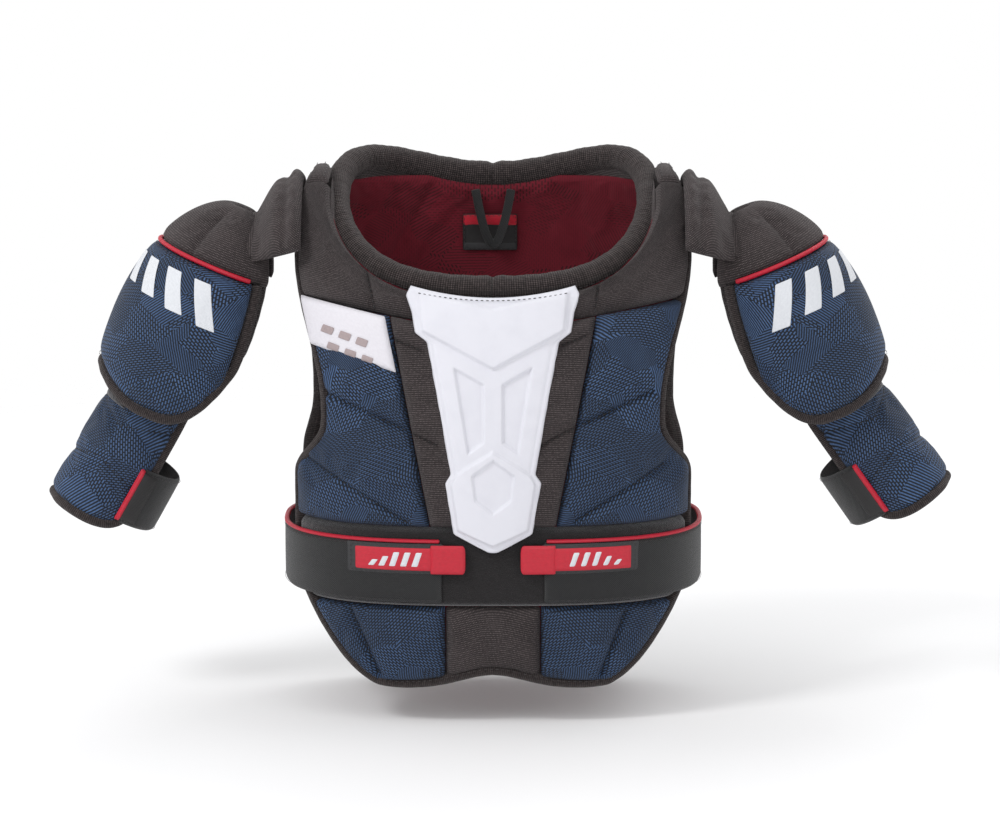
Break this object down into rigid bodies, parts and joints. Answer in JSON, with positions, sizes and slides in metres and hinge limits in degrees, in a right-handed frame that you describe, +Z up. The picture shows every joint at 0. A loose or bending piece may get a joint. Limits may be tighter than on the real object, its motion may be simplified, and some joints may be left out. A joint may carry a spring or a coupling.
{
  "type": "hockey shoulder pads",
  "caption": "Junior hockey shoulder pads: quilted vest with moulded sternum plate, roll collar, hinged shoulder caps, bicep guards and elastic belts.",
  "frame": {"origin": "middle of the waist opening, at the height of the lowest point of the front hem", "axes": "+Z up towards the neck, the chest faces -Y, +X is the wearer's left"},
  "size_m": [0.7475, 0.2355, 0.4252],
  "materials": {
    "red_lining": "brushed knit lining",
    "white_plastic": "satin moulded plastic with raised facets",
    "blue_fabric": "woven polyester with a fine printed line pattern",
    "knit_binding": "ribbed stretch knit",
    "loop_fabric": "brushed hook-and-loop, loop side",
    "red_label": "woven label tape",
    "hook_plastic": "moulded hook tape",
    "elastic": "twill-woven elastic",
    "red_piping": "satin piping",
    "inner_plastic": "thin moulded plastic, sewn in",
    "white_patch": "printed coated patch",
    "label_fabric": "woven care label, no text",
    "black_knit": "stretch knit over foam"
  },
  "bodies": {
    "vest": {"front_liner": "red_lining", "sternum_pad": "black_knit", "sternum_plate": "white_plastic", "chest_pad_left": "blue_fabric", "chest_pad_right": "blue_fabric", "chest_column_left": "black_knit", "chest_column_right": "black_knit", "yoke_left": "black_knit", "yoke_right": "black_knit", "yoke_liner_left": "red_lining", "yoke_liner_right": "red_lining", "shoulder_strip_left": "black_knit", "shoulder_strip_right": "black_knit", "chest_patch": "white_patch", "loop_band": "loop_fabric", "lower_pad_left": "blue_fabric", "lower_pad_right": "blue_fabric", "lower_pad_centre": "black_knit", "front_binding": "knit_binding", "back_liner": "red_lining", "back_pad_left": "blue_fabric", "back_pad_right": "blue_fabric", "spine_pad": "black_knit", "lower_back_pad": "black_knit", "back_binding": "knit_binding", "collar_roll": "knit_binding", "hanger_loop": "elastic", "neck_label": "label_fabric"},
    "belt_left": {"belt_left": "elastic", "belt_hook_left": "hook_plastic", "belt_tab_left": "red_label"},
    "epaulet_left": {"epaulet_left": "black_knit"},
    "cap_left": {"crown_left": "black_knit", "cap_face_left": "blue_fabric", "cap_cup_left": "inner_plastic", "cap_liner_left": "black_knit", "cap_piping_left": "red_piping", "cap_binding_left": "knit_binding"},
    "guard_left": {"guard_pad_left": "blue_fabric", "guard_plate_left": "inner_plastic", "guard_liner_left": "red_lining", "guard_binding_left": "knit_binding", "guard_loop_left": "loop_fabric"},
    "arm_strap_left": {"arm_strap_left": "elastic"},
    "belt_right": {"belt_right": "elastic", "belt_hook_right": "hook_plastic", "belt_tab_right": "red_label"},
    "epaulet_right": {"epaulet_right": "black_knit"},
    "cap_right": {"crown_right": "black_knit", "cap_face_right": "blue_fabric", "cap_cup_right": "inner_plastic", "cap_liner_right": "black_knit", "cap_piping_right": "red_piping", "cap_binding_right": "knit_binding"},
    "guard_right": {"guard_pad_right": "blue_fabric", "guard_plate_right": "inner_plastic", "guard_liner_right": "red_lining", "guard_binding_right": "knit_binding", "guard_loop_right": "loop_fabric"},
    "arm_strap_right": {"arm_strap_right": "elastic"}
  },
  "joints": [
    {"name": "belt_left_swing", "type": "hinge", "parent": "vest", "child": "belt_left", "pos_m": [0.141, 0.0822, 0.099], "axis": [0, 0, 1], "range_deg": [0, 50]},
    {"name": "epaulet_left_flex", "type": "hinge", "parent": "vest", "child": "epaulet_left", "pos_m": [0.157, 0.008, 0.398], "axis": [0, -1, 0], "range_deg": [-4, 10]},
    {"name": "cap_left_swing", "type": "hinge", "parent": "epaulet_left", "child": "cap_left", "pos_m": [0.202, 0.008, 0.377], "axis": [0, -1, 0], "range_deg": [-6, 45]},
    {"name": "guard_left_swing", "type": "hinge", "parent": "cap_left", "child": "guard_left", "pos_m": [0.2528, 0.008, 0.2585], "axis": [0, -1, 0], "range_deg": [-18, 3]},
    {"name": "arm_strap_left_peel", "type": "hinge", "parent": "guard_left", "child": "arm_strap_left", "pos_m": [0.3043, 0.0454, 0.1488], "axis": [0.5878, 0, -0.809], "range_deg": [0, 35]},
    {"name": "belt_right_swing", "type": "hinge", "parent": "vest", "child": "belt_right", "pos_m": [-0.141, 0.0822, 0.099], "axis": [0, 0, -1], "range_deg": [0, 50]},
    {"name": "epaulet_right_flex", "type": "hinge", "parent": "vest", "child": "epaulet_right", "pos_m": [-0.157, 0.008, 0.398], "axis": [0, 1, 0], "range_deg": [-4, 10]},
    {"name": "cap_right_swing", "type": "hinge", "parent": "epaulet_right", "child": "cap_right", "pos_m": [-0.202, 0.008, 0.377], "axis": [0, 1, 0], "range_deg": [-6, 45]},
    {"name": "guard_right_swing", "type": "hinge", "parent": "cap_right", "child": "guard_right", "pos_m": [-0.2528, 0.008, 0.2585], "axis": [0, 1, 0], "range_deg": [-18, 3]},
    {"name": "arm_strap_right_peel", "type": "hinge", "parent": "guard_right", "child": "arm_strap_right", "pos_m": [-0.2926, 0.0454, 0.1441], "axis": [0.5, 0, 0.866], "range_deg": [0, 35]}
  ]
}
